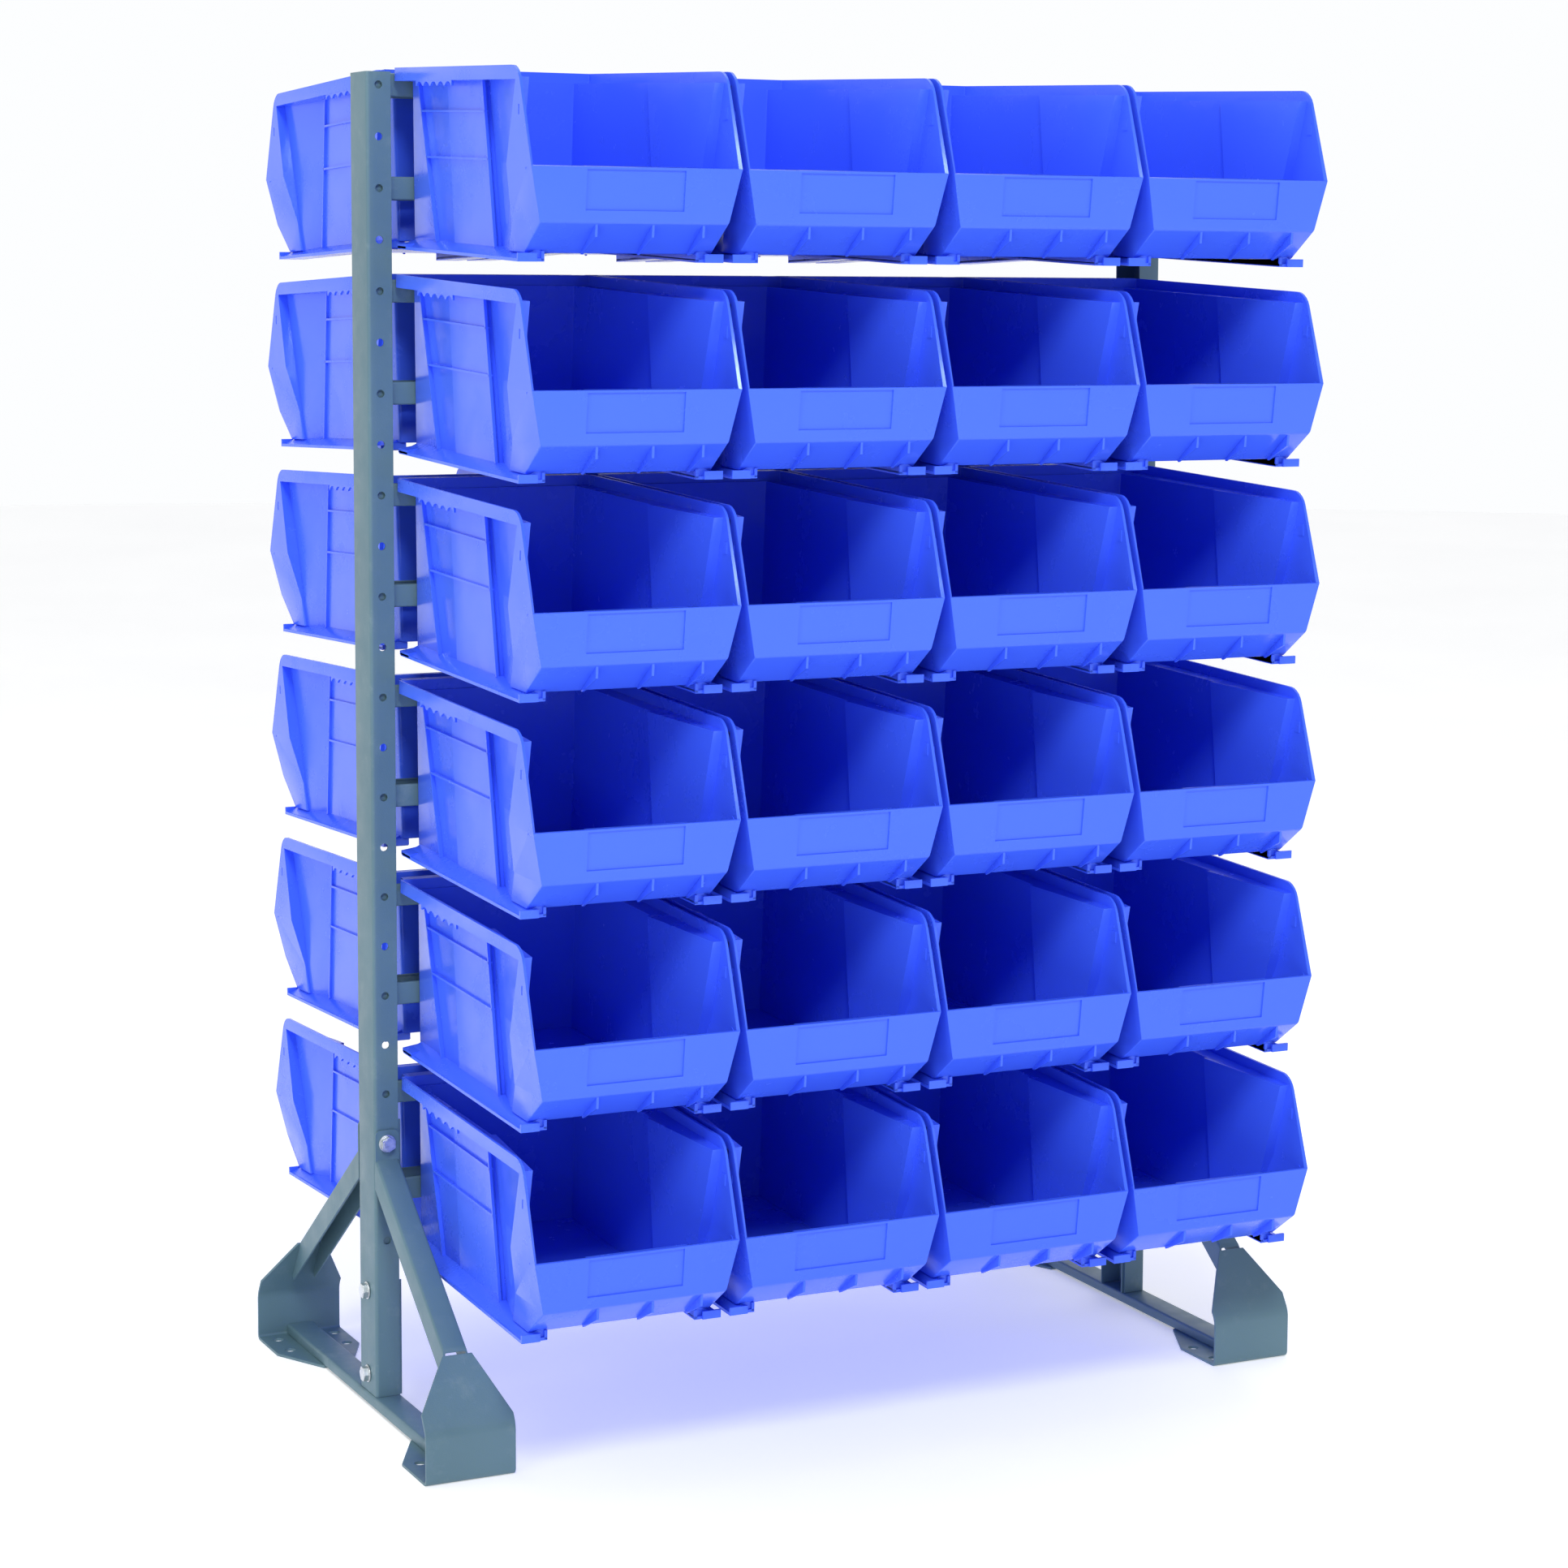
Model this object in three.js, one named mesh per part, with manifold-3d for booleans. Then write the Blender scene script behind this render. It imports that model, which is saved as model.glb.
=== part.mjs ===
// Double-sided bin rack: two channel uprights on splayed feet, twelve levels of rails and
// hopper bins hooked on both sides. Millimetres, X along the rack, Y through it, Z up.
// The origin is on the floor at the centre of the rack.
import * as THREE from "three";
import { mergeVertices } from "three/addons/utils/BufferGeometryUtils.js";
import Module from "manifold-3d";

const inch = 25.4;
const gap = 0.3;
// How far a cutting shape reaches past what it cuts, and how far joined shapes sink into each other.
const over = 1;

const rack = { width: 36 * inch, height: 53.5 * inch, holePitch: 2 * inch, topHoleDrop: 0.5 * inch };
const upright = { width: 1 * inch, depth: 2 * inch, gauge: 2, holeRadius: 4, holeCount: 24 };
const rail = { height: 23, gauge: 1.8, returnWidth: 8, levels: 12, endTie: 2 };
const foot = { gauge: 3, outside: 1.35 * inch, inside: 2.28 * inch, reach: 10.65 * inch };
foot.bend = 2 * inch;
foot.shoulder = 2.7 * inch;
foot.top = 4.5 * inch;
foot.topReach = 9 * inch;
foot.taperStart = 7.9 * inch;
foot.taperEnd = 5.4 * inch;
foot.insideShoulder = foot.shoulder - 8;
foot.neckOutside = 2;
foot.neckInside = 3;
foot.anchorRadius = 5.5;
foot.anchorX = [-0.7 * inch, 1.8 * inch];
foot.anchorY = [9.8 * inch, 8.15 * inch];
const baseChannel = { width: 30, height: 10.4, gauge: 2 };
const brace = { width: 1 * inch, depth: 1 * inch, gauge: 2, boltHeight: 11 * inch };
brace.bend = 10.4 * inch;
brace.tabTop = 11.55 * inch;
brace.lowEnd = foot.bend - 12;
brace.highEnd = foot.top + 20;
// The base frame's inner post stands inside the upright; its edge is cut back over a short stretch.
const post = { gauge: 1.5, reach: 3, top: 11.9 * inch, notchBottom: 5.3 * inch, notchTop: 6.7 * inch };
const webBolt = { heights: [1.3 * inch, 4.75 * inch], acrossFlats: 14, head: 5.5, radius: 4 };
webBolt.holeRadius = 4.5;
webBolt.length = 8;
webBolt.washerRadius = 9;
webBolt.washer = 1.2;

const bin = { width: 8.25 * inch, depth: 14.75 * inch, height: 7 * inch, pitch: 8.5 * inch };
bin.wall = 3;
bin.rows = 6;
bin.columns = 4;
bin.droop = THREE.MathUtils.degToRad(2);
bin.rimBand = 13;
bin.rimFront = bin.depth - 36.5;
bin.lipDrop = 3.55 * inch;
bin.faceDrop = 5.55 * inch;
bin.faceSetBack = 5;
bin.chinReach = bin.depth - 44;
bin.bodyDrop = 6.7 * inch;
bin.bodyHalf = 87;
bin.bodyFoot = 84;
bin.footHalf = 93;
bin.bandDepth = 62;
bin.hook = { half: 100, throat: 7.6, lip: 2.5, thickness: 4.5, drop: 13 };
bin.runner = { inner: 76, outer: 103, start: 5, end: 336, gauge: 3 };
bin.bridge = { from: 20, to: 40, below: 6.5 };

const topHole = rack.height - rack.topHoleDrop;
const webOuter = rack.width / 2;
const baseTop = foot.gauge + gap + baseChannel.height;
const uprightBottom = baseTop + gap;
const postInset = upright.gauge + gap;
const railFace = upright.depth / 2 - postInset - post.gauge - gap;
const railEnd = webOuter - postInset - post.gauge - gap;

const wasm = await Module();
wasm.setup();

const framePaint = { color: 0x6f8f96, roughness: 0.55, metalness: 0.35 };
const zinc = { color: 0xb9c0c4, roughness: 0.35, metalness: 0.9 };
const binPlastic = { color: 0x1f46ff, roughness: 0.3, metalness: 0 };

function toSolid(geometry) {
  const bare = geometry.index ? geometry.clone() : geometry;
  bare.deleteAttribute("normal");
  bare.deleteAttribute("uv");
  const merged = mergeVertices(bare, 1e-4);
  const vertProperties = new Float32Array(merged.attributes.position.array);
  const triVerts = new Uint32Array(merged.index.array);
  return new wasm.Manifold(new wasm.Mesh({ numProp: 3, vertProperties, triVerts }));
}

function toGeometry(body) {
  const mesh = body.getMesh();
  const geometry = new THREE.BufferGeometry();
  geometry.setAttribute("position", new THREE.BufferAttribute(mesh.vertProperties, 3));
  geometry.setIndex(new THREE.BufferAttribute(mesh.triVerts, 1));
  const faceted = geometry.toNonIndexed();
  faceted.computeVertexNormals();
  return faceted;
}

const unitX = new THREE.Vector3(1, 0, 0);
const unitY = new THREE.Vector3(0, 1, 0);
const unitZ = new THREE.Vector3(0, 0, 1);

// Outlines are [y, z] pairs for axis x, [x, z] for axis y and [x, y] for axis z.
function prism(outline, axis, from, to) {
  const shape = new THREE.Shape(outline.map(([a, b]) => new THREE.Vector2(a, b)));
  const geometry = new THREE.ExtrudeGeometry(shape, { depth: to - from, bevelEnabled: false });
  const turn = new THREE.Matrix4();
  if (axis === "x") turn.makeBasis(unitY, unitZ, unitX).setPosition(from, 0, 0);
  if (axis === "y") turn.makeBasis(unitX, unitZ, unitY.clone().negate()).setPosition(0, to, 0);
  if (axis === "z") turn.makeTranslation(0, 0, from);
  return toSolid(geometry.applyMatrix4(turn));
}

function box(x0, x1, y0, y1, z0, z1) {
  const geometry = new THREE.BoxGeometry(x1 - x0, y1 - y0, z1 - z0);
  return toSolid(geometry.translate((x0 + x1) / 2, (y0 + y1) / 2, (z0 + z1) / 2));
}

function rod(radius, axis, centre, from, to, sides) {
  const circle = [];
  for (let i = 0; i < sides; i += 1) {
    const turn = ((i + 0.5) / sides) * 2 * Math.PI;
    circle.push([centre[0] + radius * Math.cos(turn), centre[1] + radius * Math.sin(turn)]);
  }
  return prism(circle, axis, from, to);
}

// Left-hand C-channel, web towards -X, open towards +X.
function channel(webX, width, halfDepth, gauge, bottom, top) {
  const outline = [
    [webX, -halfDepth], [webX + width, -halfDepth], [webX + width, -halfDepth + gauge],
    [webX + gauge, -halfDepth + gauge], [webX + gauge, halfDepth - gauge],
    [webX + width, halfDepth - gauge], [webX + width, halfDepth], [webX, halfDepth],
  ];
  return prism(outline, "z", bottom, top);
}

// Cuts the two bolt holes that run through a left-hand channel's web.
function drillWeb(body) {
  let drilled = body;
  for (const height of webBolt.heights) {
    const hole = rod(webBolt.holeRadius, "x", [0, height], -webOuter - over, -webOuter + webBolt.length, 8);
    drilled = drilled.subtract(hole);
  }
  return drilled;
}

function makeUpright() {
  let body = channel(-webOuter, upright.width, upright.depth / 2, upright.gauge, uprightBottom, rack.height);
  const half = upright.depth / 2 + over;
  for (let i = 0; i < upright.holeCount; i += 1) {
    const centre = [-webOuter + upright.width / 2, topHole - i * rack.holePitch];
    body = body.subtract(rod(upright.holeRadius, "y", centre, -half, half, 6));
  }
  return drillWeb(body);
}

function makePost() {
  const webX = -webOuter + postInset;
  const halfDepth = upright.depth / 2 - postInset;
  const edge = -webOuter + upright.width;
  let body = channel(webX, edge + post.reach - webX, halfDepth, post.gauge, uprightBottom, post.top);
  body = body.subtract(
    box(edge, edge + post.reach + over, -halfDepth - over, halfDepth + over, post.notchBottom, post.notchTop),
  );
  const centre = [-webOuter + upright.width / 2, brace.boltHeight];
  const hole = rod(upright.holeRadius, "y", centre, -halfDepth - over, halfDepth + over, 6);
  return drillWeb(body.subtract(hole));
}

// Hex bolt through the upright's web and the inner post, head outward.
function makeWebBolt(height) {
  const face = -webOuter - gap;
  const washerFace = face - webBolt.washer;
  const hex = webBolt.acrossFlats / Math.sqrt(3);
  const bite = webBolt.washer / 4;
  const head = rod(hex, "x", [0, height], washerFace - webBolt.head, washerFace + bite, 6);
  const washer = rod(webBolt.washerRadius, "x", [0, height], washerFace, face, 12);
  const shank = rod(webBolt.radius, "x", [0, height], face - bite, face + webBolt.length, 8);
  return head.add(washer).add(shank);
}

function makeBaseChannel() {
  const reach = foot.reach - foot.gauge - gap;
  const x0 = -webOuter + upright.width / 2 - baseChannel.width / 2;
  const x1 = x0 + baseChannel.width;
  const bottom = foot.gauge + gap;
  const g = baseChannel.gauge;
  const outline = [
    [x0, bottom], [x0 + g, bottom], [x0 + g, baseTop - g],
    [x1 - g, baseTop - g], [x1 - g, bottom], [x1, bottom], [x1, baseTop], [x0, baseTop],
  ];
  return prism(outline, "y", -reach, reach);
}

// Front-left foot: one bent sheet with a floor plate, an upright face and a leaning face.
function makeFoot() {
  const g = foot.gauge;
  const lean = Math.atan2(foot.top - foot.bend, foot.reach - foot.topReach);
  const sheet = [
    [-foot.reach, 0], [-foot.taperEnd, 0], [-foot.taperEnd, g], [-foot.reach + g, g],
    [-foot.reach + g, foot.bend - g / 3],
    [-foot.topReach + g * Math.sin(lean), foot.top - g * Math.cos(lean)],
    [-foot.topReach, foot.top], [-foot.reach, foot.bend],
  ];
  const x0 = -webOuter - foot.outside;
  const x1 = -webOuter + foot.inside;
  const neck0 = -webOuter - foot.neckOutside;
  const neck1 = -webOuter + upright.width + foot.neckInside;
  const face = [
    [x0, -over], [x1, -over], [x1, foot.insideShoulder], [neck1, foot.top + over],
    [neck0, foot.top + over], [x0, foot.shoulder],
  ];
  const plan = [
    [x0, -foot.reach - over], [x1, -foot.reach - over], [x1, -foot.taperStart],
    [neck1 + over, -foot.taperEnd], [neck0 - over, -foot.taperEnd], [x0, -foot.taperStart],
  ];
  let body = prism(sheet, "x", x0, x1);
  body = body.intersect(prism(face, "y", -foot.reach - over, 0));
  body = body.intersect(prism(plan, "z", -over, foot.top + over));
  for (const x of foot.anchorX) {
    for (const y of foot.anchorY) {
      body = body.subtract(rod(foot.anchorRadius, "z", [-webOuter + x, -y], -over, g + over, 8));
    }
  }
  return body;
}

// Front-left brace: a channel with its web outward and a flat tab bolted to the upright's flange.
function makeBrace() {
  const near = upright.depth / 2 + gap;
  const slope = (brace.bend - foot.top) / (foot.topReach - near);
  const fall = Math.atan(slope);
  const g = brace.gauge;
  const drop = brace.depth / Math.cos(fall);
  const skin = g / Math.cos(fall);
  const end = foot.reach;
  const line = (y, below) => [-y, brace.bend - slope * (y - near) - below];
  const flange = [line(near, 0), line(near, drop), line(end, drop), line(end, 0)];
  const web = [line(near, 0), line(near, skin), line(end, skin), line(end, 0)];
  const x0 = -webOuter;
  const x1 = x0 + brace.width;
  let body = prism(web, "x", x0, x1);
  body = body.add(prism(flange, "x", x0, x0 + g));
  body = body.add(prism(flange, "x", x1 - g, x1));
  const lean = Math.atan2(foot.top - foot.bend, foot.reach - foot.topReach);
  const clear = (foot.gauge + gap) / Math.sin(lean);
  const low = brace.lowEnd;
  const high = brace.highEnd;
  const leanAt = (z) => foot.reach - (z - foot.bend) / Math.tan(lean) - clear;
  const keep = [
    [-near, brace.tabTop], [-near, low], [-foot.reach + foot.gauge + gap, low],
    [-foot.reach + foot.gauge + gap, foot.bend - g], [-leanAt(foot.bend + g), foot.bend + g],
    [-leanAt(high), high], [-leanAt(high), brace.tabTop],
  ];
  body = body.intersect(prism(keep, "x", x0 - over, x1 + over));
  body = body.add(box(x0, x1, -near - g, -near, brace.bend - 2 * g, brace.tabTop));
  const centre = [x0 + upright.width / 2, brace.boltHeight];
  return body.subtract(rod(upright.holeRadius, "y", centre, -near - g - over, 0, 6));
}

// Front and back rail of one level with the end ties that hold them apart inside the uprights.
function makeRailPair(height) {
  const top = height + rail.height / 2;
  const bottom = height - rail.height / 2;
  const back = railFace - rail.gauge;
  const section = [
    [-railFace, bottom], [-back + rail.returnWidth, bottom],
    [-back + rail.returnWidth, bottom + rail.gauge], [-back, bottom + rail.gauge],
    [-back, top], [-railFace, top],
  ];
  const front = prism(section, "x", -railEnd, railEnd);
  let body = front.add(front.mirror([0, 1, 0]));
  for (const side of [-1, 1]) {
    const x = [side * (railEnd - over), side * (railEnd - over - rail.endTie)].sort((a, b) => a - b);
    const half = railFace - rail.gauge / 2;
    body = body.add(box(x[0], x[1], -half, half, bottom + rail.gauge / 2, top - rail.gauge));
  }
  return body;
}

// A block that stands the same distance either side of the middle: x from inner to outer.
function bothSides(inner, outer, y0, y1, z0, z1) {
  return box(inner, outer, y0, y1, z0, z1).add(box(-outer, -inner, y0, y1, z0, z1));
}

// The hollow of one bin: the body, the wider stretch behind the front band, and the wider rim.
function binHollow(half) {
  const w = bin.wall;
  const front = -bin.depth - over;
  const floor = -bin.bodyDrop + w;
  const side = [
    [-w, over], [front, over], [front, -bin.lipDrop], [-bin.depth + w, -bin.lipDrop],
    [-bin.depth + bin.faceSetBack + w, -bin.faceDrop + w], [-bin.chinReach + w, floor], [-w, floor],
  ];
  const bodyEnds = [
    [-bin.bodyHalf + w, over], [-bin.bodyFoot + w, floor],
    [bin.bodyFoot - w, floor], [bin.bodyHalf - w, over],
  ];
  const bandEnds = [
    [-half + w, over], [-half + w, -bin.lipDrop],
    [-bin.footHalf + w, -bin.faceDrop], [-bin.footHalf + w, floor],
    [bin.footHalf - w, floor], [bin.footHalf - w, -bin.faceDrop],
    [half - w, -bin.lipDrop], [half - w, over],
  ];
  const bandBack = -bin.depth + bin.bandDepth - w;
  const body = prism(bodyEnds, "y", front, 0);
  const band = prism(bandEnds, "y", front, bandBack);
  const rim = box(-half + w, half - w, front, 0, -bin.rimBand + w, over);
  return prism(side, "x", -half, half).intersect(body.add(band).add(rim));
}

// One bin, its rear wall's outer top edge on the origin, opening towards -Y.
function makeBin() {
  const half = bin.width / 2;
  const outer = [
    [0, 0], [-bin.rimFront, 0], [-bin.depth, -bin.lipDrop],
    [-bin.depth + bin.faceSetBack, -bin.faceDrop], [-bin.chinReach, -bin.bodyDrop], [0, -bin.bodyDrop],
  ];
  const front = [
    [-half, 0], [-half, -bin.lipDrop], [-bin.footHalf - over, -bin.faceDrop], [-bin.footHalf, -bin.bodyDrop],
    [bin.footHalf, -bin.bodyDrop], [bin.footHalf + over, -bin.faceDrop], [half, -bin.lipDrop], [half, 0],
  ];
  let body = prism(outer, "x", -half, half).intersect(prism(front, "y", -bin.depth, 0));
  const pocketFront = -bin.depth + bin.bandDepth;
  for (const side of [-1, 1]) {
    const pocket = [
      [side * bin.bodyHalf, -bin.rimBand], [side * (half + over), -bin.rimBand],
      [side * (half + over), -bin.height], [side * bin.bodyFoot, -bin.height],
    ];
    body = body.subtract(prism(side < 0 ? pocket.reverse() : pocket, "y", pocketFront, over));
  }
  body = body.subtract(binHollow(half));
  const hook = bin.hook;
  const reach = hook.throat + hook.lip;
  body = body.add(box(-hook.half, hook.half, -bin.wall / 2, reach, -hook.thickness, 0));
  body = body.add(box(-hook.half, hook.half, hook.throat, reach, -hook.drop, 0));
  const { inner, outer: far, start, end, gauge } = bin.runner;
  const flangeTop = -bin.height + gauge;
  const inset = gauge / 4;
  body = body.add(bothSides(inner, far, -end, -start, -bin.height, flangeTop));
  const webX = inner + inset;
  const webTop = -bin.bodyDrop + over;
  return body.add(bothSides(webX, webX + gauge, -end + over, -start - over, flangeTop - over, webTop));
}

// The four bins of one back row, held as one piece by short bridges between their rims.
function makeBinRow(single) {
  const first = -((bin.columns - 1) / 2) * bin.pitch;
  const spare = bin.pitch - bin.width;
  let body = null;
  for (let column = 0; column < bin.columns; column += 1) {
    const x = first + column * bin.pitch;
    const placed = single.translate([x, 0, 0]);
    body = body ? body.add(placed) : placed;
    const edge = x + bin.width / 2;
    if (column < bin.columns - 1) {
      const { from, to, below } = bin.bridge;
      body = body.add(box(edge - over, edge + spare + over, -to, -from, -below, -over));
    }
  }
  return body;
}

const model = new THREE.Group();

function place(parent, name, geometry, look) {
  const mesh = new THREE.Mesh(geometry, new THREE.MeshStandardMaterial(look));
  mesh.name = name;
  parent.add(mesh);
  return mesh;
}

function flip(body, overX, overY) {
  let turned = body;
  if (overX) turned = turned.mirror([1, 0, 0]);
  if (overY) turned = turned.mirror([0, 1, 0]);
  return toGeometry(turned);
}

const endSolids = {
  upright: makeUpright(),
  base_channel: makeBaseChannel(),
  inner_post: makePost(),
  web_bolt_lower: makeWebBolt(webBolt.heights[0]),
  web_bolt_upper: makeWebBolt(webBolt.heights[1]),
};
const cornerSolids = { foot: makeFoot(), brace: makeBrace() };

for (const end of ["left", "right"]) {
  for (const [piece, body] of Object.entries(endSolids)) {
    const look = piece.startsWith("web_bolt") ? zinc : framePaint;
    place(model, `${piece}_${end}`, flip(body, end === "right", false), look);
  }
  for (const side of ["front", "back"]) {
    for (const [piece, body] of Object.entries(cornerSolids)) {
      place(model, `${piece}_${side}_${end}`, flip(body, end === "right", side === "back"), framePaint);
    }
  }
}

for (let level = 0; level < rail.levels; level += 1) {
  const name = `rail_pair_${String(level + 1).padStart(2, "0")}`;
  place(model, name, toGeometry(makeRailPair(topHole - 2 * level * rack.holePitch)), framePaint);
}

// Each bin hangs over its upper rail and leans on the lower one, so its front droops a little.
const lowerRailFoot = 2 * rack.holePitch + rail.height;
const rimOverRail = rail.height / 2 + bin.hook.thickness + 2 * gap;
const wallOffset = railFace + gap + (lowerRailFoot + bin.hook.thickness + 2 * gap) * Math.tan(bin.droop);
const single = makeBin();
const singleGeometry = toGeometry(single);
const rowGeometry = toGeometry(makeBinRow(single));

for (const side of ["front", "back"]) {
  const hung = new THREE.Group();
  hung.rotation.z = side === "front" ? 0 : Math.PI;
  model.add(hung);
  for (let row = 0; row < bin.rows; row += 1) {
    const shelf = new THREE.Group();
    shelf.position.set(0, -wallOffset, topHole - 4 * row * rack.holePitch + rimOverRail);
    shelf.rotation.x = bin.droop;
    hung.add(shelf);
    if (side === "back") {
      place(shelf, `bins_back_row${row + 1}`, rowGeometry, binPlastic);
      continue;
    }
    for (let column = 0; column < bin.columns; column += 1) {
      const mesh = place(shelf, `bin_row${row + 1}_col${column + 1}`, singleGeometry, binPlastic);
      mesh.position.x = (column - (bin.columns - 1) / 2) * bin.pitch;
    }
  }
}

export default model;
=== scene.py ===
# Double-sided bin rack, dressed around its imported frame. Metres, X along the rack, Z up.
import math
import bmesh
import bpy
from mathutils import Matrix, Vector


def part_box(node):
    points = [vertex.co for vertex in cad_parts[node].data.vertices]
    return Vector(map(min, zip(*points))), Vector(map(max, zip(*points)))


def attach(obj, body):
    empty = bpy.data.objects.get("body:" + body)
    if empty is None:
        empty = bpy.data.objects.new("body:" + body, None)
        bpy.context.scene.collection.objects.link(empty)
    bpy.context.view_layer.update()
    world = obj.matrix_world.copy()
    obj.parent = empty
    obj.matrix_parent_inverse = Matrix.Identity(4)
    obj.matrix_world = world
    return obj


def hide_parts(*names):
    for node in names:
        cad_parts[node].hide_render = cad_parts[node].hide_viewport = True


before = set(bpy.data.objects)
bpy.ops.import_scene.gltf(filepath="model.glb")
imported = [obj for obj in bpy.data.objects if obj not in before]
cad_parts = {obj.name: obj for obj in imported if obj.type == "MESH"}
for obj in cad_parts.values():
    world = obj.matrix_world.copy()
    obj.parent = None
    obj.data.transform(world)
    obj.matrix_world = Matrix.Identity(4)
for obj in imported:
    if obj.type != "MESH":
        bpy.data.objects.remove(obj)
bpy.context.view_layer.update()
print("frame loaded:", len(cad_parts), "nodes")

inch = 0.0254
mm = 0.001
foldAngle = math.radians(32)  # edges sharper than this stay crisp


def addObject(name, bm):
    mesh = bpy.data.meshes.new(name)
    bm.to_mesh(mesh)
    bm.free()
    made = bpy.data.objects.new(name, mesh)
    bpy.context.scene.collection.objects.link(made)
    return made


def addMesh(bm, other):
    spare = bpy.data.meshes.new("spare")
    other.to_mesh(spare)
    other.free()
    bm.from_mesh(spare)
    bpy.data.meshes.remove(spare)


def cut(bm, point, normal, clear=False):
    # splits everything on a plane; with clear, the part on the normal's side goes
    bmesh.ops.bisect_plane(bm, geom=bm.verts[:] + bm.edges[:] + bm.faces[:], dist=1e-6,
                           plane_co=point, plane_no=normal, clear_outer=clear)


def prism(bm, outline, start, end):
    # outline is (y, z) points, drawn out along x
    corners = [bm.verts.new((start, y, z)) for y, z in outline]
    cap = bm.faces.new(corners)
    grown = bmesh.ops.extrude_face_region(bm, geom=[cap])["geom"]
    moved = [item for item in grown if isinstance(item, bmesh.types.BMVert)]
    bmesh.ops.translate(bm, verts=moved, vec=(end - start, 0, 0))
    return corners + moved


def block(bm, low, high):
    made = bmesh.ops.create_cube(bm, size=1)["verts"]
    size = Vector(high) - Vector(low)
    bmesh.ops.scale(bm, vec=size, verts=made)
    bmesh.ops.translate(bm, verts=made, vec=(Vector(high) + Vector(low)) / 2)
    return made


def peg(bm, radius, axis, centre, length, sides=24):
    turn = {"x": Matrix.Rotation(math.pi / 2, 4, "Y"), "y": Matrix.Rotation(math.pi / 2, 4, "X"),
            "z": Matrix.Identity(4)}[axis]
    place = Matrix.Translation(centre) @ turn
    return bmesh.ops.create_cone(bm, cap_ends=True, segments=sides, radius1=radius, radius2=radius,
                                 depth=length, matrix=place)["verts"]


def carve(bm, *cutters):
    # takes each cutter mesh out of bm and gives back the result
    bmesh.ops.recalc_face_normals(bm, faces=bm.faces[:])
    blank = addObject("blank", bm)
    tools = []
    for cutter in cutters:
        bmesh.ops.recalc_face_normals(cutter, faces=cutter.faces[:])
        tools.append(addObject("cutter", cutter))
        step = blank.modifiers.new("carve", "BOOLEAN")
        step.operation = "DIFFERENCE"
        step.solver = "EXACT"
        step.object = tools[-1]
    ready = blank.evaluated_get(bpy.context.evaluated_depsgraph_get())
    result = bmesh.new()
    result.from_mesh(ready.to_mesh())
    for used in [blank, *tools]:
        bpy.data.objects.remove(used)
    bmesh.ops.remove_doubles(result, verts=result.verts[:], dist=1e-6)
    bmesh.ops.dissolve_degenerate(result, edges=result.edges[:], dist=1e-6)
    return result


def faceOut(bm, inside):
    # open sheets: all normals away from a point inside
    bmesh.ops.recalc_face_normals(bm, faces=bm.faces[:])
    outward = sum(face.normal.dot(face.calc_center_median() - Vector(inside)) * face.calc_area()
                  for face in bm.faces)
    if outward < 0:
        bmesh.ops.reverse_faces(bm, faces=bm.faces[:])


def roundEdges(bm, edges, radius, segments):
    bmesh.ops.bevel(bm, geom=edges, offset=radius, offset_type="OFFSET", affect="EDGES",
                    segments=segments, profile=0.5, material=-1, clamp_overlap=True)


def finish(name, bm, look, body, stands=(), edge=0.5 * mm):
    # smooths the rounded stretches, keeps the folds crisp, and softens them with a live bevel
    for face in bm.faces:
        face.smooth = True
    for seam in bm.edges:
        seam.smooth = seam.calc_face_angle(0) < foldAngle
    piece = addObject(name, bm)
    piece.data.materials.append(look)
    soft = piece.modifiers.new("edges", "BEVEL")
    soft.width = edge
    soft.segments = 2
    soft.limit_method = "ANGLE"
    soft.angle_limit = foldAngle
    soft.harden_normals = True
    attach(piece, body)
    if stands:
        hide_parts(*stands)
    return piece


def mirrored(bm, overX, overY):
    # a copy flipped to the far end, to the back, or both
    copy = bm.copy()
    flip = Vector((-1 if overX else 1, -1 if overY else 1, 1))
    bmesh.ops.scale(copy, vec=flip, verts=copy.verts[:])
    bmesh.ops.recalc_face_normals(copy, faces=copy.faces[:])
    return copy


def drawnSheet(path, run):
    # a bent line of points drawn out along run; its own corners stay the first vertices
    bm = bmesh.new()
    corners = [bm.verts.new(point) for point in path]
    chain = [bm.edges.new(pair) for pair in zip(corners, corners[1:])]
    grown = bmesh.ops.extrude_edge_only(bm, edges=chain)["geom"]
    moved = [item for item in grown if isinstance(item, bmesh.types.BMVert)]
    bmesh.ops.translate(bm, verts=moved, vec=run)
    return bm


def roundFolds(bm, radius, segments):
    folds = [seam for seam in bm.edges if len(seam.link_faces) == 2]
    roundEdges(bm, folds, radius, segments)


def giveGauge(bm, inside, gauge):
    # thickens a sheet towards the point inside
    faceOut(bm, inside)
    bmesh.ops.solidify(bm, geom=bm.faces[:], thickness=gauge)


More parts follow.
